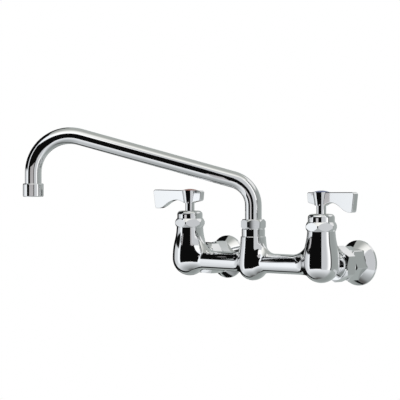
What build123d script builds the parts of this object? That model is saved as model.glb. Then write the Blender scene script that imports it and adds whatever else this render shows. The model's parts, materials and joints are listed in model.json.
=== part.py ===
from build123d import *
import os
from math import asin, cos, degrees, radians, sin, tan

# Wall-mounted two-handle kitchen faucet with an overhead swing spout.
#
# Origin: on the wall, midway between the two supply inlets. +X runs to the cold inlet,
# -Y points out to the user and +Z up. Millimetres and degrees.
#
# Every turned piece is drawn as (radius, distance along its own axis). Two families of
# axes are used: "stacks" stand upright through a barrel, and "branches" run from a valve
# back to the wall.

os.makedirs("parts", exist_ok=True)

# ---------------------------------------------------------------- driving dimensions
INLET_CENTRES = 203.2        # 8 in between the two supply inlets
WALL_TO_VALVE = 67.5         # the valve and spout axes stand this far off the wall

# casting: the foot of each barrel, its largest radius and its (radius, height) points
VALVE_FOOT = -19.8
VALVE_BELLY = 20.5
VALVE_SIDE = [(19.0, 17.5), (17.0, 26.5), (15.7, 37.6)]
HUB_FOOT = -21.3
HUB_BELLY = 17.4
HUB_SIDE = [(16.5, 9.5), (15.1, 21.0), (14.4, 29.3)]
SIDE_SLOPE = (-0.06, 1)      # a barrel is almost upright where it meets its nut
CROSSBAR_R = 11.2
CROSSBAR_Z = -0.8
VALVE_BLEND = 26.0           # the crossbar sweeps up into a valve, more than into the hub
HUB_BLEND = 18.0
HUB_EDGE = 0.8
SHANK_R = 10.6
SHANK_BLEND = 2.5
SHANK_GROOVE_R = SHANK_R - 1

# heights in a valve
SEAT = -1.5                  # floor that the cartridge seals on
BARREL_TOP = VALVE_SIDE[-1][1]
NECK_TOP = 46.0
BONNET_CEILING = 49.0
BONNET_TOP = 56.9
BONNET_HEX_TOP = 47.9
LEVER_BOTTOM = 66.3
LEVER_TOP = 81.3

# radii in a valve
CHAMBER_R = 10.5
POCKET_R = 6.5
NECK_R = 13.2
BONNET_AF = 31.75            # 1 1/4 in wrench
BONNET_R = 15.0
BONNET_SHOULDER = 4.2
BONNET_RELIEF = 3.9          # the corners are turned off almost to the middle
BONNET_BORE_R = 9.1
BONNET_CORNER = 57.0         # where a corner of the hexagon points, from +X
SPINDLE_R = 5.4
SQUARE = 7.4                 # drive square on top of the spindle
RUNNING = 0.05               # radial clearance of a running fit

# cartridge
HOUSING_R = 9.3              # below the sealed part
HOUSING_SEALED = 18.0        # the sealed part starts here
WINDOW_LOW = 9.5
WINDOW_HIGH = 13.0
WINDOW_WIDTH = 5.0
COLLAR_R = 9.0
COLLAR_HEAD = BONNET_TOP - 0.4
DISC_R = 7.6
FIXED_DISC_R = DISC_R + 0.4
FIXED_DISC_LOW = 0.5
FIXED_DISC_HIGH = 4.0
MOVING_DISC_LOW = 4.1
MOVING_DISC_HIGH = 7.0
PORT_R = 2.2
PORT_OFFSET = 4.2
TONGUE_LOW = 5.6             # drive tongue of the spindle in the moving disc
TONGUE_LENGTH = 10.0
TONGUE_WIDTH = 3.0
DRUM_TOP = 9.5               # the spindle's wide foot
SCREW_R = 2.4
SCREW_TIP = 62.5
SCREW_HOLE_BOTTOM = 62.0

# O-rings: groove floor radius, cord radius and heights
HOUSING_ORING = (CHAMBER_R - 1.25, 0.62, [40.0])
STEM_ORING = (SPINDLE_R - 1.45, 0.75, [30.0, 36.0])
GROOVE_EASE = 0.15           # a groove is this much taller than its cord, each way
CLIP_FLOOR_R = SPINDLE_R - 0.9
CLIP_LOW = 54.9
CLIP_HIGH = 55.9
CLIP_GAP = 4.0

# spout hub
HUB_TOP = HUB_SIDE[-1][1]
HUB_NECK_TOP = 43.0
HUB_NECK_R = 11.0
HUB_BORE_BOTTOM = -8.0
SPIGOT_R = 8.5
SPIGOT_BORE_R = 6.2
SPIGOT_BOTTOM = 14.0
SPOUT_ORING = (7.1, 0.715, [20.0, 28.0])
SPOUT_NUT_AF = 25.4          # 1 in wrench
SPOUT_NUT_SKIRT_R = 13.4
SPOUT_NUT_SKIRT_TOP = 37.4
SPOUT_NUT_CEILING = 46.0
SPOUT_NUT_TOP = 48.9
SPOUT_NUT_RELIEF = 2.6
SPOUT_NUT_CORNER = 44.0
COLLAR_BOTTOM = 44.1
COLLAR_TOP = 45.6
COLLAR_WIDE_R = 10.6
SLEEVE_TOP = 55.0

# waterways in the casting
WATERWAY_R = 4.5
WATERWAY_Z = 3.0
INTAKE_R = 4.0
INTAKE_Z = -7.0

# spout
TUBE_R = 9.525               # 3/4 in tube
TUBE_BORE_R = 8.2
SPOUT_REACH = 254.0          # 10 in from the swivel axis to the outlet
SPOUT_REST = 48.0            # swing towards the hot side from straight out
SPOUT_SLOPE = 15.5
SPOUT_KNEE = 88.3            # height where the riser's line meets the sloping run's line
KNEE_BEND = 31.0
OUTLET_BEND = 42.8
TUBE_END = 84.0

# outlet, from the bottom up
AERATOR_R = 11.9
AERATOR_BOTTOM = 74.8
AERATOR_TOP = 90.0
AERATOR_EDGE = 1.1
AERATOR_MOUTH_R = 9.3
SCREEN_LOW = 76.4
INSERT_LOW = 77.6
WASHER_LOW = 82.4
INSERT_R = 10.2

# inlets, measured back from the valve axis
SHANK_END = 30.5
SHANK_BORE_R = 6.5
SHANK_BORE_START = 14.0
NUT_FRONT = 23.0
NUT_HEX_FRONT = 24.2
NUT_LIP_BACK = 27.0
NUT_BACK = 39.0
NUT_AF = 36.0
NUT_LIP_R = 16.2
UNION_THREAD_R = 13.2
RING_R = 12.5
RING_THICKNESS = 1.4
UNION_WASHER_BACK = 32.5
STRAINER_R = 8.6
STRAINER_BACK = 34.0
NUT_RELIEF = 1.6
BOSS_AF = 35.0
BOSS_RELIEF = 1.2
FLANGE_R = 25.75
FLANGE_RIM = 3.1
RIM_EDGE = 0.5
FLANGE_CONE = [(22.7, 6.2), (18.0, 10.6)]    # (radius, distance off the wall) up the cone
THREAD_R = 9.9               # 1/2 in pipe thread
THREAD_DEPTH = 16.0

# levers
LEVER_REST = 5.5             # both levers stand this far forward of the wall's line
LEVER_LENGTH = 54.0
LEVER_THICKNESS = 7.2
LEVER_TOE = 59.3             # underside of the blade at its tip
TAIL_LENGTH = 19.5
TIP_RISE = 1.0
BLADE_DROP = 0.5             # the blade's top lies this far under the hub's
BLADE_EDGE = 0.8
TIP_CORNER = 2.9
TAIL_CORNER = 2.2
TOE_SETBACK = 3.2
TOE_LENGTH = 6.5
LEVER_HUB_TOP_R = 9.9
LEVER_HUB_BOTTOM_R = 7.2
SCREW_SEAT = 77.0
SCREW_HEAD_R = 4.6
SCREW_HEAD = 2.4
SCREW_KEY_AF = 3.0
INDEX_SEAT = 79.9
INDEX_R = 8.9
INDEX_CROWN = 1.6            # rise of the index cap's dome

VALVE_X = INLET_CENTRES / 2
SIDES = {"hot": -1, "cold": 1}
NUT_CORNERS = {"hot": 2.0, "cold": 35.0}     # where a corner points, from +X downwards
BOSS_CORNERS = {"hot": 41.0, "cold": 13.0}


# ---------------------------------------------------------------- axes and helpers
def stack(x):
    """Upright axis through a barrel."""
    return Plane((x, -WALL_TO_VALVE, 0))


def branch(x, height=0.0):
    """Axis from a valve straight back to the wall."""
    return Plane((x, -WALL_TO_VALVE, height), x_dir=(1, 0, 0), z_dir=(0, 1, 0))


def lever_axis(direction):
    """Upright valve axis whose local X points out along the lever."""
    rest = radians(LEVER_REST)
    outward = (direction * cos(rest), -sin(rest), 0)
    return Plane((direction * VALVE_X, -WALL_TO_VALVE, 0), x_dir=outward)


def spout_axis():
    """Upright swivel axis whose local X points along the spout at rest."""
    rest = radians(SPOUT_REST)
    return Plane((0, -WALL_TO_VALVE, 0), x_dir=(-sin(rest), -cos(rest), 0))


def section(base):
    """Plane that holds a piece's axis: local X is the radius, local Y runs along the axis."""
    return Plane(base.origin, x_dir=base.x_dir, z_dir=-base.y_dir)


def spin(base):
    return Axis(base.origin, base.z_dir)


def band(inner, outer, low, high):
    return [(inner, low), (outer, low), (outer, high), (inner, high)]


def turn(base, outline, mode=Mode.ADD):
    """Revolve a closed outline of (radius, distance) points about the base's axis."""
    with BuildSketch(section(base)) as profile:
        with BuildLine():
            Polyline(*outline, close=True)
        make_face()
    revolve(profile.sketch, axis=spin(base), mode=mode)


def hexagon(base, across_flats, corner, low, high, mode=Mode.ADD):
    with BuildSketch(base.offset(low)) as flats:
        RegularPolygon(across_flats / 2, 6, major_radius=False, rotation=corner)
    extrude(flats.sketch, high - low, mode=mode)


def round_nut(base, across_flats, corner, low, high, relief):
    """Hexagon whose corners are turned off at both ends, at about 30 degrees."""
    hexagon(base, across_flats, corner, low, high)
    flat_r = across_flats / 2
    corner_r = flat_r / cos(radians(30)) - 0.35
    outline = [(0, low), (flat_r - 0.3, low), (corner_r, low + relief)]
    outline += [(corner_r, high - relief), (flat_r - 0.3, high), (0, high)]
    turn(base, outline, mode=Mode.INTERSECT)


def barrel(base, foot, belly, side):
    """Pear-shaped barrel: a half ball that tapers up through the (radius, height) points.

    Its seam faces the user, clear of the crossbar and the rear shank.
    """
    belly_z = foot + belly
    with BuildSketch(section(base.rotated((0, 0, -90)))) as profile:
        with BuildLine():
            CenterArc((0, belly_z), belly, -90, 90)
            Spline((belly, belly_z), *side, tangents=[(0, 1), SIDE_SLOPE])
            Polyline(side[-1], (0, side[-1][1]), (0, foot))
        make_face()
    revolve(profile.sketch, axis=spin(base))


def o_rings(base, seal):
    """Rings described by (groove floor radius, cord radius, heights)."""
    floor_r, cord_r, heights = seal
    for height in heights:
        with BuildSketch(section(base)) as profile:
            with Locations((floor_r + cord_r, height)):
                Circle(cord_r)
        revolve(profile.sketch, axis=spin(base))


def grooves(base, seal, outer):
    """Cut the grooves that hold those rings."""
    floor_r, cord_r, heights = seal
    reach = cord_r + GROOVE_EASE
    for height in heights:
        turn(base, band(floor_r, outer, height - reach, height + reach), mode=Mode.SUBTRACT)


def ports(base, spots, low, high):
    """Cut the round ports of a ceramic disc."""
    with BuildSketch(base.offset(low)) as outline:
        with Locations(*spots):
            Circle(PORT_R)
    extrude(outline.sketch, high - low, mode=Mode.SUBTRACT)


def block(base, length, width, low, high, mode=Mode.ADD):
    """Rectangular bar about the base's axis."""
    with BuildSketch(base.offset(low)) as outline:
        Rectangle(length, width)
    extrude(outline.sketch, high - low, mode=mode)


def slot(base, length, width, low, high, turned=0):
    """Cut a slot that starts at the axis and runs out along the base's local X."""
    with BuildSketch(base.offset(low)) as outline:
        with Locations(Rotation(0, 0, turned)):
            with Locations((length / 2, 0)):
                Rectangle(length, width)
    extrude(outline.sketch, high - low, mode=Mode.SUBTRACT)


def mesh_holes(base, hole_r, pitch, within, low, high):
    """Perforate a plate with a hexagonal field of holes."""
    rows = int(within / (pitch * sin(radians(60)))) + 1
    with BuildSketch(base.offset(low)) as holes:
        for row in range(-rows, rows + 1):
            y = row * pitch * sin(radians(60))
            for column in range(-rows - 1, rows + 2):
                x = (column + row % 2 / 2) * pitch
                if x * x + y * y < (within - hole_r) ** 2:
                    with Locations((x, y)):
                        Circle(hole_r)
    extrude(holes.sketch, high - low, mode=Mode.SUBTRACT)


def save(piece, node):
    piece.part.label = node
    export_step(piece.part, f"parts/{node}.step")


# ---------------------------------------------------------------- the casting
def make_faucet_body():
    crossbar = Plane((-VALVE_X, -WALL_TO_VALVE, CROSSBAR_Z), x_dir=(0, 0, 1), z_dir=(1, 0, 0))
    waterway = Plane((-VALVE_X, -WALL_TO_VALVE, WATERWAY_Z), x_dir=(0, 0, 1), z_dir=(1, 0, 0))
    hub = stack(0)
    valves = [stack(direction * VALVE_X) for direction in SIDES.values()]
    rears = [branch(direction * VALVE_X) for direction in SIDES.values()]
    intakes = [branch(direction * VALVE_X, INTAKE_Z) for direction in SIDES.values()]

    with BuildPart() as faucet_body:
        for base in valves:
            barrel(base, VALVE_FOOT, VALVE_BELLY, VALVE_SIDE)
        barrel(hub, HUB_FOOT, HUB_BELLY, HUB_SIDE)
        turn(crossbar, band(0, CROSSBAR_R, 0, INLET_CENTRES))
        joins = faucet_body.edges(Select.NEW)
        fillet(joins.filter_by(lambda edge: abs(edge.center().X) < VALVE_X / 2), HUB_BLEND)
        fillet(joins.filter_by(lambda edge: abs(edge.center().X) > VALVE_X / 2), VALVE_BLEND)
        for base in rears:
            turn(base, band(0, SHANK_R, VALVE_BELLY / 2, SHANK_END))
            fillet(faucet_body.edges(Select.NEW).filter_by(GeomType.CIRCLE, reverse=True), SHANK_BLEND)
        shoulders = faucet_body.edges().filter_by(GeomType.CIRCLE)
        fillet(shoulders.filter_by(lambda edge: abs(edge.radius - HUB_SIDE[-1][0]) < 0.01), HUB_EDGE)

        # threaded necks that the nuts screw on to
        for base in valves:
            turn(base, band(0, NECK_R, BARREL_TOP - 1, NECK_TOP))
        turn(hub, band(0, HUB_NECK_R, HUB_TOP - 1, HUB_NECK_TOP))

        # water chambers and passages
        for base in valves:
            turn(base, band(0, CHAMBER_R, SEAT, NECK_TOP), mode=Mode.SUBTRACT)
            turn(base, band(0, POCKET_R, INTAKE_Z - INTAKE_R - 1, SEAT), mode=Mode.SUBTRACT)
        turn(hub, band(0, SPIGOT_R + RUNNING, HUB_BORE_BOTTOM, HUB_NECK_TOP), mode=Mode.SUBTRACT)
        turn(waterway, band(0, WATERWAY_R, 0, INLET_CENTRES), mode=Mode.SUBTRACT)
        groove_back = NUT_LIP_BACK + RING_THICKNESS
        for base, intake in zip(rears, intakes):
            turn(base, band(0, SHANK_BORE_R, SHANK_BORE_START, SHANK_END), mode=Mode.SUBTRACT)
            turn(base, band(SHANK_GROOVE_R, SHANK_R + 1, NUT_LIP_BACK, groove_back), mode=Mode.SUBTRACT)
            turn(intake, band(0, INTAKE_R, 0, SHANK_BORE_START + 2), mode=Mode.SUBTRACT)
    save(faucet_body, "faucet_body")


# ---------------------------------------------------------------- valves
def make_cartridge_housing(side, base):
    with BuildPart() as cartridge_housing:
        turn(base, band(0, HOUSING_R, 0, HOUSING_SEALED))
        turn(base, band(0, CHAMBER_R - RUNNING, HOUSING_SEALED, NECK_TOP))
        turn(base, band(0, NECK_R - 0.1, NECK_TOP, BONNET_CEILING))
        turn(base, band(0, COLLAR_R, BONNET_CEILING, COLLAR_HEAD))
        turn(base, band(0, FIXED_DISC_R, 0, WINDOW_HIGH), mode=Mode.SUBTRACT)
        turn(base, band(0, SPINDLE_R + RUNNING, WINDOW_HIGH, COLLAR_HEAD), mode=Mode.SUBTRACT)
        turn(base, band(0, DISC_R + 0.2, COLLAR_HEAD - 2, COLLAR_HEAD), mode=Mode.SUBTRACT)
        grooves(base, HOUSING_ORING, CHAMBER_R + 1)
        for quarter in range(4):
            slot(base, CHAMBER_R, WINDOW_WIDTH, WINDOW_LOW, WINDOW_HIGH, turned=45 + 90 * quarter)
    save(cartridge_housing, f"{side}_cartridge_housing")


def make_housing_oring(side, base):
    with BuildPart() as housing_oring:
        o_rings(base, HOUSING_ORING)
    save(housing_oring, f"{side}_housing_oring")


def make_seat_washer(side, base):
    with BuildPart() as seat_washer:
        turn(base, band(POCKET_R, FIXED_DISC_R, SEAT, FIXED_DISC_LOW))
    save(seat_washer, f"{side}_seat_washer")


def make_fixed_disc(side, base):
    """Lower ceramic disc, with two ports on the X axis."""
    with BuildPart() as fixed_disc:
        turn(base, band(0, FIXED_DISC_R, FIXED_DISC_LOW, FIXED_DISC_HIGH))
        ports(base, [(PORT_OFFSET, 0), (-PORT_OFFSET, 0)], FIXED_DISC_LOW, FIXED_DISC_HIGH)
    save(fixed_disc, f"{side}_fixed_disc")


def make_moving_disc(side, base):
    """Upper ceramic disc: its ports stand across the lower disc's until the lever turns."""
    with BuildPart() as moving_disc:
        turn(base, band(0, DISC_R, MOVING_DISC_LOW, MOVING_DISC_HIGH))
        ports(base, [(0, PORT_OFFSET), (0, -PORT_OFFSET)], MOVING_DISC_LOW, MOVING_DISC_HIGH)
        block(base, TONGUE_LENGTH, TONGUE_WIDTH, TONGUE_LOW, MOVING_DISC_HIGH, mode=Mode.SUBTRACT)
    save(moving_disc, f"{side}_moving_disc")


def make_spindle(side, base):
    """Stem from the moving disc up to the lever, with a drive tongue and a drive square."""
    square_top = LEVER_BOTTOM + SQUARE
    with BuildPart() as spindle:
        turn(base, band(0, DISC_R, MOVING_DISC_HIGH, DRUM_TOP))
        turn(base, band(0, SPINDLE_R, DRUM_TOP, LEVER_BOTTOM))
        block(base, TONGUE_LENGTH, TONGUE_WIDTH, TONGUE_LOW, MOVING_DISC_HIGH)
        block(base, SQUARE, SQUARE, LEVER_BOTTOM, square_top)
        grooves(base, STEM_ORING, SPINDLE_R + 1)
        turn(base, band(CLIP_FLOOR_R, SPINDLE_R + 1, CLIP_LOW, CLIP_HIGH), mode=Mode.SUBTRACT)
        turn(base, band(0, SCREW_R, SCREW_HOLE_BOTTOM, square_top), mode=Mode.SUBTRACT)
    save(spindle, f"{side}_spindle")


def make_stem_orings(side, base):
    with BuildPart() as stem_orings:
        o_rings(base, STEM_ORING)
    save(stem_orings, f"{side}_stem_orings")


def make_retaining_clip(side, base):
    """Open ring in the stem's groove, which stops the stem from dropping into the housing."""
    with BuildPart() as retaining_clip:
        turn(base, band(CLIP_FLOOR_R, DISC_R - 0.2, CLIP_LOW, CLIP_HIGH))
        slot(base, DISC_R + 1, CLIP_GAP, CLIP_LOW, CLIP_HIGH)
    save(retaining_clip, f"{side}_retaining_clip")


def make_bonnet_nut(side, base):
    with BuildPart() as bonnet_nut:
        round_nut(base, BONNET_AF, BONNET_CORNER, BARREL_TOP, BONNET_HEX_TOP, BONNET_RELIEF)
        turn(base, band(0, BONNET_R, BONNET_HEX_TOP, BONNET_TOP))
        top_edge = bonnet_nut.faces().sort_by(Axis.Z)[-1].edges()
        fillet(top_edge, BONNET_SHOULDER)
        turn(base, band(0, NECK_R, BARREL_TOP, BONNET_CEILING), mode=Mode.SUBTRACT)
        turn(base, band(0, BONNET_BORE_R, BONNET_CEILING, BONNET_TOP), mode=Mode.SUBTRACT)
    save(bonnet_nut, f"{side}_bonnet_nut")


# ---------------------------------------------------------------- levers
def make_lever_handle(side, base):
    """Wing lever: a thin blade that deepens to its tip, a short tail and a tapered hub."""
    tail_top = (-TAIL_LENGTH, LEVER_TOP - BLADE_DROP)
    tip_top = (LEVER_LENGTH, LEVER_TOP + TIP_RISE - BLADE_DROP)
    toe = (LEVER_LENGTH - TOE_SETBACK, LEVER_TOE)
    arch_points = [(toe[0] - TOE_LENGTH, LEVER_TOE + 0.1), (33.0, 64.3), (25.5, 68.3), (17.0, 69.6)]
    root = (LEVER_HUB_BOTTOM_R, LEVER_BOTTOM + 0.3)
    tail_heel = (-TAIL_LENGTH + 1.4, 69.2)
    with BuildPart() as handle:
        with BuildSketch(section(base)):
            with BuildLine():
                Polyline(tail_top, tip_top, toe, arch_points[0])
                Spline(*arch_points, root, tangents=[(-1, 0.15), (-1, -0.45)])
                Polyline(root, (-LEVER_HUB_BOTTOM_R, LEVER_BOTTOM + 0.9), tail_heel, tail_top)
            make_face()
        extrude(amount=LEVER_THICKNESS / 2, both=True)
        outward = Axis(base.origin, base.x_dir)
        crosswise = Axis(base.origin, base.y_dir)
        corners = handle.edges().filter_by(crosswise).sort_by(outward)
        fillet(corners[:2], TAIL_CORNER)
        corners = handle.edges().filter_by(crosswise).sort_by(outward)
        fillet(corners[-2:], TIP_CORNER)
        fillet(handle.faces().filter_by(crosswise).edges(), BLADE_EDGE)
        turn(base, [(0, LEVER_BOTTOM), (LEVER_HUB_BOTTOM_R, LEVER_BOTTOM),
                    (LEVER_HUB_TOP_R, LEVER_TOP), (0, LEVER_TOP)])
        turn(base, band(0, INDEX_R + 0.1, INDEX_SEAT, LEVER_TOP + 2), mode=Mode.SUBTRACT)
        turn(base, band(0, SCREW_HEAD_R + 0.6, SCREW_SEAT, INDEX_SEAT), mode=Mode.SUBTRACT)
        turn(base, band(0, SCREW_R + 0.2, LEVER_BOTTOM, SCREW_SEAT), mode=Mode.SUBTRACT)
        block(base, SQUARE, SQUARE, LEVER_BOTTOM, LEVER_BOTTOM + SQUARE, mode=Mode.SUBTRACT)
    save(handle, f"{side}_lever_handle")


def make_handle_screw(side, base):
    head_top = SCREW_SEAT + SCREW_HEAD
    with BuildPart() as handle_screw:
        turn(base, band(0, SCREW_R, SCREW_TIP, SCREW_SEAT))
        turn(base, band(0, SCREW_HEAD_R, SCREW_SEAT, head_top))
        hexagon(base, SCREW_KEY_AF, 0, SCREW_SEAT + 0.8, head_top, mode=Mode.SUBTRACT)
    save(handle_screw, f"{side}_handle_screw")


def make_index_cap(side, base):
    """Coloured plug that covers the screw: a shallow dome in the top of the lever's hub."""
    edge_z = LEVER_TOP + 0.1
    crown_z = edge_z + INDEX_CROWN
    dome_r = (INDEX_R ** 2 + INDEX_CROWN ** 2) / (2 * INDEX_CROWN)
    sweep_angle = degrees(asin(INDEX_R / dome_r))
    with BuildPart() as index_cap:
        with BuildSketch(section(base)):
            with BuildLine():
                CenterArc((0, crown_z - dome_r), dome_r, 90 - sweep_angle, sweep_angle)
                Polyline((0, crown_z), (0, INDEX_SEAT), (INDEX_R, INDEX_SEAT), (INDEX_R, edge_z))
            make_face()
        revolve(axis=spin(base))
    save(index_cap, f"{side}_index_cap")


# ---------------------------------------------------------------- inlets
def make_coupling_nut(side, base, corner):
    with BuildPart() as coupling_nut:
        round_nut(base, NUT_AF, corner, NUT_HEX_FRONT, NUT_BACK, NUT_RELIEF)
        turn(base, band(0, NUT_LIP_R, NUT_FRONT, NUT_HEX_FRONT))
        turn(base, band(0, SHANK_R + 0.1, NUT_FRONT, NUT_LIP_BACK), mode=Mode.SUBTRACT)
        turn(base, band(0, UNION_THREAD_R, NUT_LIP_BACK, NUT_BACK), mode=Mode.SUBTRACT)
    save(coupling_nut, f"{side}_coupling_nut")


def make_union_snap_ring(side, base):
    """Open ring in the shank's groove, which the coupling nut pulls on."""
    ring_back = NUT_LIP_BACK + RING_THICKNESS
    with BuildPart() as union_snap_ring:
        turn(base, band(SHANK_GROOVE_R, RING_R, NUT_LIP_BACK, ring_back))
        slot(base, RING_R + 1, CLIP_GAP, NUT_LIP_BACK, ring_back, turned=90)
    save(union_snap_ring, f"{side}_union_snap_ring")


def make_union_washer(side, base):
    with BuildPart() as union_washer:
        turn(base, band(SHANK_BORE_R, UNION_THREAD_R - 0.4, SHANK_END, UNION_WASHER_BACK))
    save(union_washer, f"{side}_union_washer")


def make_inlet_strainer(side, base):
    with BuildPart() as inlet_strainer:
        turn(base, band(0, STRAINER_R, UNION_WASHER_BACK, STRAINER_BACK))
        mesh_holes(base, 0.75, 2.3, SHANK_BORE_R - 0.3, UNION_WASHER_BACK, STRAINER_BACK)
    save(inlet_strainer, f"{side}_inlet_strainer")


def make_inlet_flange(side, base, corner):
    """Wall flange with a wrench boss, a male union thread and a female pipe thread."""
    thread_start = WALL_TO_VALVE - THREAD_DEPTH
    middle, top = [(radius, WALL_TO_VALVE - off_wall) for radius, off_wall in FLANGE_CONE]
    with BuildPart() as inlet_flange:
        round_nut(base, BOSS_AF, corner, NUT_BACK, WALL_TO_VALVE - FLANGE_RIM, BOSS_RELIEF)
        turn(base, band(0, UNION_THREAD_R, UNION_WASHER_BACK, NUT_BACK))
        with BuildSketch(section(base)) as disc:
            with BuildLine():
                rim = Line((FLANGE_R, WALL_TO_VALVE), (FLANGE_R, WALL_TO_VALVE - FLANGE_RIM))
                cone = ThreePointArc(rim @ 1, middle, top)
                Polyline(cone @ 1, (0, top[1]), (0, WALL_TO_VALVE), rim @ 0)
            make_face()
        revolve(disc.sketch, axis=spin(base))
        rims = inlet_flange.edges().filter_by(GeomType.CIRCLE)
        fillet(rims.filter_by(lambda edge: abs(edge.radius - FLANGE_R) < 0.01), RIM_EDGE)
        turn(base, band(0, THREAD_R, thread_start, WALL_TO_VALVE), mode=Mode.SUBTRACT)
        turn(base, band(0, SHANK_BORE_R, STRAINER_BACK, thread_start), mode=Mode.SUBTRACT)
        turn(base, band(0, STRAINER_R, UNION_WASHER_BACK, STRAINER_BACK), mode=Mode.SUBTRACT)
    save(inlet_flange, f"{side}_inlet_flange")


# ---------------------------------------------------------------- spout
def make_spout_nut(base):
    with BuildPart() as spout_nut:
        round_nut(base, SPOUT_NUT_AF, SPOUT_NUT_CORNER, SPOUT_NUT_SKIRT_TOP, SPOUT_NUT_TOP, SPOUT_NUT_RELIEF)
        turn(base, band(0, SPOUT_NUT_SKIRT_R, HUB_TOP, SPOUT_NUT_SKIRT_TOP))
        turn(base, band(0, HUB_NECK_R, HUB_TOP, SPOUT_NUT_CEILING), mode=Mode.SUBTRACT)
        turn(base, band(0, TUBE_R + 0.375, SPOUT_NUT_CEILING, SPOUT_NUT_TOP), mode=Mode.SUBTRACT)
    save(spout_nut, "spout_nut")


def make_glide_washer(base):
    with BuildPart() as glide_washer:
        turn(base, band(SPIGOT_R + 0.4, HUB_NECK_R - 0.1, HUB_NECK_TOP, HUB_NECK_TOP + 1))
    save(glide_washer, "spout_glide_washer")


def make_spout_sleeve(base):
    """Swivel ferrule: a grooved spigot in the hub, a collar under the nut, a tail in the tube."""
    with BuildPart() as spout_sleeve:
        turn(base, band(SPIGOT_BORE_R, SPIGOT_R, SPIGOT_BOTTOM, COLLAR_TOP))
        turn(base, band(SPIGOT_BORE_R, COLLAR_WIDE_R, COLLAR_BOTTOM, COLLAR_TOP))
        turn(base, band(SPIGOT_BORE_R, TUBE_BORE_R, COLLAR_TOP, SLEEVE_TOP))
        grooves(base, SPOUT_ORING, SPIGOT_R + 1)
    save(spout_sleeve, "spout_sleeve")


def make_spout_orings(base):
    with BuildPart() as spout_orings:
        o_rings(base, SPOUT_ORING)
    save(spout_orings, "spout_orings")


def make_spout_tube(base):
    """Bent tube: riser, sloping run and drop, joined by two tangent bends."""
    peak = SPOUT_KNEE + SPOUT_REACH * tan(radians(SPOUT_SLOPE))
    corners = [(0, COLLAR_TOP), (0, SPOUT_KNEE), (SPOUT_REACH, peak), (SPOUT_REACH, TUBE_END)]
    with BuildPart() as spout_tube:
        with BuildLine(section(base)) as route:
            FilletPolyline(*corners, radius=[KNEE_BEND, OUTLET_BEND])
        with BuildSketch(base.offset(COLLAR_TOP)):
            Circle(TUBE_R)
            Circle(TUBE_BORE_R, mode=Mode.SUBTRACT)
        sweep(path=route.wire())
    save(spout_tube, "spout_tube")


def make_aerator_housing(base):
    with BuildPart() as aerator_housing:
        turn(base, band(TUBE_R, AERATOR_R, AERATOR_BOTTOM, AERATOR_TOP))
        turn(base, band(AERATOR_MOUTH_R, TUBE_R + 1, AERATOR_BOTTOM, SCREEN_LOW))
        turn(base, band(AERATOR_MOUTH_R, INSERT_R + 0.1, SCREEN_LOW, TUBE_END), mode=Mode.SUBTRACT)
        rims = aerator_housing.edges().filter_by(GeomType.CIRCLE)
        fillet(rims.filter_by(lambda edge: abs(edge.radius - AERATOR_R) < 0.01), AERATOR_EDGE)
    save(aerator_housing, "aerator_housing")


def make_aerator_washer(base):
    with BuildPart() as aerator_washer:
        turn(base, band(TUBE_BORE_R - 0.6, INSERT_R, WASHER_LOW, TUBE_END))
    save(aerator_washer, "aerator_washer")


def make_aerator_insert(base):
    """Flow straightener: a perforated plastic drum."""
    with BuildPart() as aerator_insert:
        turn(base, band(0, INSERT_R, INSERT_LOW, WASHER_LOW))
        mesh_holes(base, 1.1, 3.0, 8.6, INSERT_LOW, WASHER_LOW)
    save(aerator_insert, "aerator_insert")


def make_aerator_screen(base):
    with BuildPart() as aerator_screen:
        turn(base, band(0, INSERT_R, SCREEN_LOW, INSERT_LOW))
        mesh_holes(base, 0.65, 1.75, 9.0, SCREEN_LOW, INSERT_LOW)
    save(aerator_screen, "aerator_screen")


# ---------------------------------------------------------------- assembly
make_faucet_body()

for side, direction in SIDES.items():
    valve = stack(direction * VALVE_X)
    make_cartridge_housing(side, valve)
    make_housing_oring(side, valve)
    make_seat_washer(side, valve)
    make_fixed_disc(side, valve)
    make_bonnet_nut(side, valve)

    lever = lever_axis(direction)
    make_moving_disc(side, lever)
    make_spindle(side, lever)
    make_stem_orings(side, lever)
    make_retaining_clip(side, lever)
    make_lever_handle(side, lever)
    make_handle_screw(side, lever)
    make_index_cap(side, lever)

    inlet = branch(direction * VALVE_X)
    make_coupling_nut(side, inlet, NUT_CORNERS[side])
    make_union_snap_ring(side, inlet)
    make_union_washer(side, inlet)
    make_inlet_strainer(side, inlet)
    make_inlet_flange(side, inlet, BOSS_CORNERS[side])

swivel = stack(0)
make_spout_nut(swivel)
make_glide_washer(swivel)
make_spout_sleeve(swivel)
make_spout_orings(swivel)
make_spout_tube(spout_axis())

outlet = Plane(spout_axis().origin + spout_axis().x_dir * SPOUT_REACH, x_dir=spout_axis().x_dir)
make_aerator_housing(outlet)
make_aerator_washer(outlet)
make_aerator_insert(outlet)
make_aerator_screen(outlet)
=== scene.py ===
"""Looks of a wall-mounted two-lever faucet with a swing spout: studio, camera and materials."""
import json
import math

import bpy
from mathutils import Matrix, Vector


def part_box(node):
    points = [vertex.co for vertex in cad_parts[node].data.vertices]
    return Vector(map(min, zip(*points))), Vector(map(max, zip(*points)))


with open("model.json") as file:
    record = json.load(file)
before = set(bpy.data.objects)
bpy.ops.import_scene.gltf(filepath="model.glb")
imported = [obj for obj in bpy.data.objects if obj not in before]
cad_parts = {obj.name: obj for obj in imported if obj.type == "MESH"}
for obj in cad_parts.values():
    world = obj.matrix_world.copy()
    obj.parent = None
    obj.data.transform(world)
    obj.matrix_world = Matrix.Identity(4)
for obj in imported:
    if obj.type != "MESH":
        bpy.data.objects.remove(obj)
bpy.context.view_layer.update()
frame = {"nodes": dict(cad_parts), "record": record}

nodes = frame["nodes"]
scene = bpy.context.scene


def middle(node):
    low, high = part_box(node)
    return (low + high) / 2


HUB = middle("spout_nut")
HUB.z = 0.0

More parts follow.
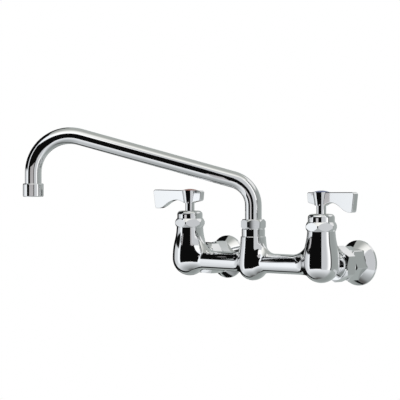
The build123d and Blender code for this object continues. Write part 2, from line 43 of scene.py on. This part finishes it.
# ---------------------------------------------------------------- camera
CAMERA_AZIMUTH = math.radians(42.06)     # round the hub, towards the cold side
CAMERA_DISTANCE = 2.045
CAMERA_HEIGHT = 0.1107
CAMERA_PITCH = math.radians(1.11)        # looking slightly down
CAMERA_YAW = math.radians(1.72)          # and to the left of the hub
LENS = 160.0
SENSOR = 36.0


def out_from(azimuth):
    """Level direction towards an azimuth: 0 is straight out from the wall."""
    return Vector((math.sin(azimuth), -math.cos(azimuth), 0))


def make_camera():
    data = bpy.data.cameras.new("camera")
    data.lens = LENS
    data.sensor_width = SENSOR
    data.clip_start = 0.05
    data.clip_end = 60.0
    camera = bpy.data.objects.new("camera", data)
    scene.collection.objects.link(camera)
    level = HUB + out_from(CAMERA_AZIMUTH) * CAMERA_DISTANCE
    camera.location = level + Vector((0, 0, CAMERA_HEIGHT))
    camera.rotation_euler = (math.pi / 2 - CAMERA_PITCH, 0, CAMERA_AZIMUTH + CAMERA_YAW)
    scene.camera = camera


# ---------------------------------------------------------------- shader helpers
class Graph:
    """Short names for building a node tree."""

    def __init__(self, tree):
        self.tree = tree
        tree.nodes.clear()

    def node(self, kind, **settings):
        made = self.tree.nodes.new(kind)
        for name, value in settings.items():
            setattr(made, name, value)
        return made

    def link(self, source, target):
        self.tree.links.new(source, target)

    def feed(self, socket, value):
        if isinstance(value, bpy.types.NodeSocket):
            self.link(value, socket)
        else:
            socket.default_value = value

    def math(self, operation, a, b=0.0):
        made = self.node("ShaderNodeMath", operation=operation)
        for socket, value in zip(made.inputs, (a, b)):
            self.feed(socket, value)
        return made.outputs[0]

    def times(self, a, b):
        return self.math("MULTIPLY", a, b)

    def mix(self, factor, a, b):
        made = self.node("ShaderNodeMix", data_type="RGBA")
        self.feed(made.inputs[0], factor)
        for socket, value in zip((made.inputs[6], made.inputs[7]), (a, b)):
            self.feed(socket, value)
        return made.outputs[2]

    def step(self, value, low, high):
        """0 below low, 1 above high and smooth between."""
        made = self.node("ShaderNodeMapRange", interpolation_type="SMOOTHSTEP")
        self.feed(made.inputs[0], value)
        made.inputs[1].default_value = low
        made.inputs[2].default_value = high
        return made.outputs[0]

    def between(self, value, low, high, soft):
        """1 from low to high, with edges that are soft wide."""
        rise = self.step(value, low - soft / 2, low + soft / 2)
        fall = self.step(value, high - soft / 2, high + soft / 2)
        return self.math("SUBTRACT", rise, fall)


def grey(level, tint=(1.0, 1.0, 1.0)):
    return (*[level * part for part in tint], 1.0)


# ---------------------------------------------------------------- studio
# The chrome sees a round tent whose wall, floor and ceiling glow. Bearings are in degrees
# round the hub: 0 at the lens, positive to its right, -180 and 180 behind the faucet.
ROOM_RADIUS = 1.0
ROOM_FLOOR = -0.5
ROOM_CEILING = 1.3
ROOM_FACETS = 128
FLOOR_HEIGHT = ROOM_FLOOR / 2            # of the white floor that the camera sees
FLOOR_SIZE = 60

COOL = (0.97, 1.0, 1.03)
MINT = (0.92, 1.0, 0.98)
WHITE = grey(1.15)
CREAM = grey(1.0, (1.0, 0.995, 0.96))
STONE = grey(0.43, MINT)
LILAC = grey(0.55, (1.0, 0.98, 1.0))
BLACK = grey(0.004)

LENS_FLAG = (-74, 3.7)                   # black, round the lens
LENS_FLAG_HEIGHT = (-0.43, 0.68)
LEFT_FLAG = (-134, -82)                  # black, over the left light
LEFT_FLAG_HEIGHT = (0.13, 0.18)
BACK_FLAG = (-200, -123)                 # black, behind the faucet on the left
BACK_PANEL = (-200, -160)                # grey, over the far part of that flag
BACK_PANEL_HEIGHT = (0.2, 0.3)
PIPE_PANELS = (84, 146)                  # two pale panels that the wrench bosses see
PIPE_PANEL_HIGH = (0.50, 0.70)
PIPE_PANEL_LOW = (-0.40, -0.28)

# grey strips: node they stand in front of, bearing, distance from its axis, width, low and
# high edge
STRIPS = [
    ("hot_bonnet_nut", -32.5, 0.047, 0.0148, 0.045, 0.0525),
    ("cold_bonnet_nut", -32.5, 0.047, 0.0148, 0.045, 0.0525),
    ("spout_nut", -36.0, 0.085, 0.028, 0.0465, 0.085),
    ("aerator_housing", -12.0, 0.047, 0.036, 0.072, 0.112),
]


def bearings(graph):
    """Bearing round the hub, height and level distance from the hub."""
    place = graph.node("ShaderNodeNewGeometry").outputs["Position"]
    split = graph.node("ShaderNodeSeparateXYZ")
    graph.link(place, split.inputs[0])
    x = graph.math("SUBTRACT", split.outputs[0], HUB.x)
    y = graph.math("SUBTRACT", split.outputs[1], HUB.y)
    cosine, sine = math.cos(CAMERA_AZIMUTH), math.sin(CAMERA_AZIMUTH)
    ahead = graph.math("SUBTRACT", graph.times(x, sine), graph.times(y, cosine))
    right = graph.math("ADD", graph.times(x, cosine), graph.times(y, sine))
    bearing = graph.math("DEGREES", graph.math("ARCTAN2", right, ahead))
    reach = graph.math("SQRT", graph.math("ADD", graph.times(x, x), graph.times(y, y)))
    return bearing, split.outputs[2], reach


def shining(name):
    """Material that only shines: its graph and its emission node."""
    material = bpy.data.materials.new(name)
    material.use_nodes = True
    graph = Graph(material.node_tree)
    emission = graph.node("ShaderNodeEmission")
    graph.link(emission.outputs[0], graph.node("ShaderNodeOutputMaterial").inputs[0])
    return material, graph, emission


def paint_wall(graph, bearing, height, reach):
    """White tent with black flags and a grey right side."""
    soft_right = graph.mix(graph.step(bearing, 30, 52), grey(0.60, (0.98, 1.0, 1.03)), WHITE)
    left = graph.mix(graph.step(bearing, -106, -78), grey(0.66, COOL), grey(1.0, COOL))
    colour = graph.mix(graph.step(bearing, -60, -30), left, WHITE)
    colour = graph.mix(graph.step(bearing, -6, 2), colour, soft_right)

    # a dark line, then grey that lifts towards the back
    colour = graph.mix(graph.step(bearing, 56, 58), colour, grey(0.05))
    colour = graph.mix(graph.step(bearing, 62, 66), colour, grey(0.35, (0.93, 1.0, 0.98)))
    colour = graph.mix(graph.step(bearing, 80, 160), colour, grey(0.44, (0.93, 1.0, 0.98)))
    panels = graph.between(bearing, *PIPE_PANELS, 6)
    under = graph.math("SUBTRACT", 1.0, graph.step(height, *PIPE_PANEL_LOW))
    high = graph.times(panels, graph.step(height, *PIPE_PANEL_HIGH))
    colour = graph.mix(high, colour, grey(0.85))
    colour = graph.mix(graph.times(panels, under), colour, grey(0.62, COOL))

    colour = graph.mix(graph.between(bearing, *BACK_FLAG, 5), colour, BLACK)
    back_panel = graph.step(height, *BACK_PANEL_HEIGHT)
    back_panel = graph.times(graph.between(bearing, *BACK_PANEL, 4), back_panel)
    colour = graph.mix(back_panel, colour, STONE)
    left_flag = graph.step(height, *LEFT_FLAG_HEIGHT)
    left_flag = graph.times(graph.between(bearing, *LEFT_FLAG, 4), left_flag)
    colour = graph.mix(left_flag, colour, BLACK)
    lens_flag = graph.between(height, *LENS_FLAG_HEIGHT, 0.03)
    lens_flag = graph.times(graph.between(bearing, *LENS_FLAG, 0.6), lens_flag)
    return graph.mix(lens_flag, colour, BLACK)


def paint_floor(graph, bearing, height, reach):
    """Pale sweep that falls off to grey, and to near black right under the faucet."""
    sweep = graph.step(reach, 0.10, 0.85)
    colour = graph.mix(sweep, grey(0.32, (0.95, 1.0, 1.01)), grey(0.80, COOL))
    shade = graph.mix(graph.step(reach, 0.10, 0.95), grey(0.30, MINT), STONE)
    centre = graph.step(reach, 0.02, 0.22)
    colour = graph.mix(centre, grey(0.10, (1.0, 0.97, 0.95)), colour)
    colour = graph.mix(graph.step(bearing, 50, 75), colour, shade)
    colour = graph.mix(graph.between(bearing, -200, -128, 6), colour, shade)
    return graph.mix(graph.between(bearing, -146, -124, 5), colour, BLACK)


def paint_ceiling(graph, bearing, height, reach):
    """Cream in front of the faucet and grey behind it."""
    ahead = graph.times(reach, graph.math("COSINE", graph.math("RADIANS", bearing)))
    return graph.mix(graph.step(ahead, -0.1, 0.75), grey(0.42, (0.96, 1.0, 0.95)), CREAM)


def paint_strip(graph, bearing, height, reach):
    """Grey, a little darker at the top."""
    return graph.mix(graph.step(height, 0.04, 0.11), LILAC, grey(0.42, (1.0, 0.96, 0.97)))


def reflector(name, paint):
    """Make the surface just added one that the chrome sees and the camera doesn't.

    It is painted by paint(graph, bearing, height, reach).
    """
    panel = bpy.context.object
    panel.name = name
    material, graph, emission = shining(name)
    graph.link(paint(graph, *bearings(graph)), emission.inputs[0])
    panel.data.materials.append(material)
    panel.visible_camera = False
    panel.visible_shadow = False
    panel.visible_transmission = False


def make_tent():
    centre = (HUB.x, HUB.y)
    bpy.ops.mesh.primitive_cylinder_add(
        vertices=2 * ROOM_FACETS, radius=ROOM_RADIUS, depth=ROOM_CEILING - ROOM_FLOOR,
        end_fill_type="NOTHING", location=(*centre, (ROOM_CEILING + ROOM_FLOOR) / 2))
    reflector("studio_wall", paint_wall)
    lids = (("studio_bounce", ROOM_FLOOR, paint_floor),
            ("studio_ceiling", ROOM_CEILING, paint_ceiling))
    for name, height, paint in lids:
        bpy.ops.mesh.primitive_circle_add(
            vertices=ROOM_FACETS, radius=ROOM_RADIUS, fill_type="NGON",
            location=(*centre, height))
        reflector(name, paint)


def make_strips():
    """Narrow strips close in front of the bonnets, the riser and the outlet."""
    for node, degrees, distance, width, low, high in STRIPS:
        axis = middle(node)
        azimuth = CAMERA_AZIMUTH + math.radians(degrees)
        spot = axis + out_from(azimuth) * distance
        bpy.ops.mesh.primitive_plane_add(
            size=1, location=(spot.x, spot.y, (low + high) / 2),
            rotation=(math.pi / 2, 0, azimuth))
        reflector(f"strip_{node}", paint_strip)
        bpy.context.object.scale = (width, high - low, 1)


def make_floor():
    """Plain white floor, which the chrome doesn't see, under a white world."""
    bpy.ops.mesh.primitive_plane_add(size=FLOOR_SIZE, location=(0, 0, FLOOR_HEIGHT))
    floor = bpy.context.object
    floor.name = "floor"
    material, graph, emission = shining("floor_white")
    emission.inputs[0].default_value = grey(1.0)
    floor.data.materials.append(material)
    floor.visible_glossy = False

    world = bpy.data.worlds.new("studio")
    world.use_nodes = True
    world.node_tree.nodes["Background"].inputs[0].default_value = grey(1.0)
    scene.world = world
    scene.view_settings.view_transform = "Standard"
    scene.view_settings.look = "None"


# ---------------------------------------------------------------- materials
def surface(name):
    material = bpy.data.materials.new(name)
    material.use_nodes = True
    graph = Graph(material.node_tree)
    shader = graph.node("ShaderNodeBsdfPrincipled")
    graph.link(shader.outputs[0], graph.node("ShaderNodeOutputMaterial").inputs[0])
    return material, graph, shader


def noise(graph, place, scale, detail):
    made = graph.node("ShaderNodeTexNoise")
    graph.link(place, made.inputs["Vector"])
    made.inputs["Scale"].default_value = scale
    made.inputs["Detail"].default_value = detail
    return made.outputs["Fac"]


def uneven_gloss(graph, shader, pattern, low, high):
    gloss = graph.node("ShaderNodeMapRange")
    graph.link(pattern, gloss.inputs[0])
    gloss.inputs[3].default_value = low
    gloss.inputs[4].default_value = high
    graph.link(gloss.outputs[0], shader.inputs["Roughness"])


def relief(graph, shader, pattern, distance):
    bump = graph.node("ShaderNodeBump")
    bump.inputs["Strength"].default_value = 1.0
    bump.inputs["Distance"].default_value = distance
    graph.link(pattern, bump.inputs["Height"])
    graph.link(bump.outputs[0], shader.inputs["Normal"])


def chrome(name, wave=0.00001, haze=0.07):
    """Polished chrome plate: faint waviness under the plate and uneven polish on it."""
    material, graph, shader = surface(name)
    shader.inputs["Metallic"].default_value = 1.0
    shader.inputs["Base Color"].default_value = (0.92, 0.925, 0.93, 1.0)
    place = graph.node("ShaderNodeTexCoord").outputs["Object"]
    uneven_gloss(graph, shader, noise(graph, place, 90.0, 4.0), 0.02, haze)
    relief(graph, shader, noise(graph, place, 60.0, 1.0), wave)
    return material


def worn(name, dark, light, gloss, scale, stretch=(1.0, 1.0, 1.0), metallic=0.0,
         depth=0.00001, coat=0.0):
    """Two close colours, uneven gloss and a fine relief from one noise.

    The noise is in the object's own space, stretched for turned metal.
    """
    material, graph, shader = surface(name)
    mapping = graph.node("ShaderNodeMapping")
    place = graph.node("ShaderNodeTexCoord").outputs["Object"]
    graph.link(place, mapping.inputs["Vector"])
    mapping.inputs["Scale"].default_value = stretch
    pattern = noise(graph, mapping.outputs[0], scale, 4.0)
    blend = graph.node("ShaderNodeValToRGB")
    graph.link(pattern, blend.inputs[0])
    for stop, position, colour in zip(blend.color_ramp.elements, (0.3, 0.7), (dark, light)):
        stop.position = position
        stop.color = (*colour, 1.0)
    graph.link(blend.outputs[0], shader.inputs["Base Color"])
    uneven_gloss(graph, shader, pattern, *gloss)
    relief(graph, shader, pattern, depth)
    shader.inputs["Metallic"].default_value = metallic
    shader.inputs["Coat Weight"].default_value = coat
    return material


def make_materials():
    turned = (1.0, 1.0, 14.0)
    made = {
        "chrome_body": chrome("chrome_body", wave=0.00002),
        "chrome_trim": chrome("chrome_trim", wave=0.000003, haze=0.03),
        "chrome_stem": chrome("chrome_stem"),
        "chrome_spout": chrome("chrome_spout"),
        "chrome_lever": chrome("chrome_lever"),
        "chrome_inlet": chrome("chrome_inlet"),
        "brass_internal": worn(
            "brass_internal", (0.70, 0.50, 0.20), (0.83, 0.64, 0.30), (0.18, 0.36), 160.0,
            turned, metallic=1.0),
        "stainless": worn(
            "stainless", (0.52, 0.52, 0.51), (0.66, 0.66, 0.65), (0.20, 0.40), 220.0,
            turned, metallic=1.0),
        "rubber_seal": worn(
            "rubber_seal", (0.016, 0.016, 0.017), (0.042, 0.041, 0.040), (0.45, 0.75), 420.0,
            depth=0.00002),
        "nylon": worn(
            "nylon", (0.78, 0.77, 0.71), (0.88, 0.87, 0.82), (0.35, 0.5), 240.0),
        "ceramic": worn(
            "ceramic", (0.86, 0.85, 0.81), (0.92, 0.91, 0.88), (0.08, 0.2), 500.0,
            depth=0.000002),
        "index_hot": worn(
            "index_hot", (0.52, 0.13, 0.08), (0.62, 0.18, 0.12), (0.16, 0.30), 260.0,
            depth=0.000004, coat=0.4),
        "index_cold": worn(
            "index_cold", (0.12, 0.15, 0.38), (0.17, 0.20, 0.45), (0.16, 0.30), 260.0,
            depth=0.000004, coat=0.4),
    }
    slots = {part["node"]: part["material_slot"] for part in frame["record"]["subparts"]}
    for node, piece in nodes.items():
        piece.data.materials.clear()
        piece.data.materials.append(made[slots[node]])


make_camera()
make_tent()
make_strips()
make_floor()
make_materials()
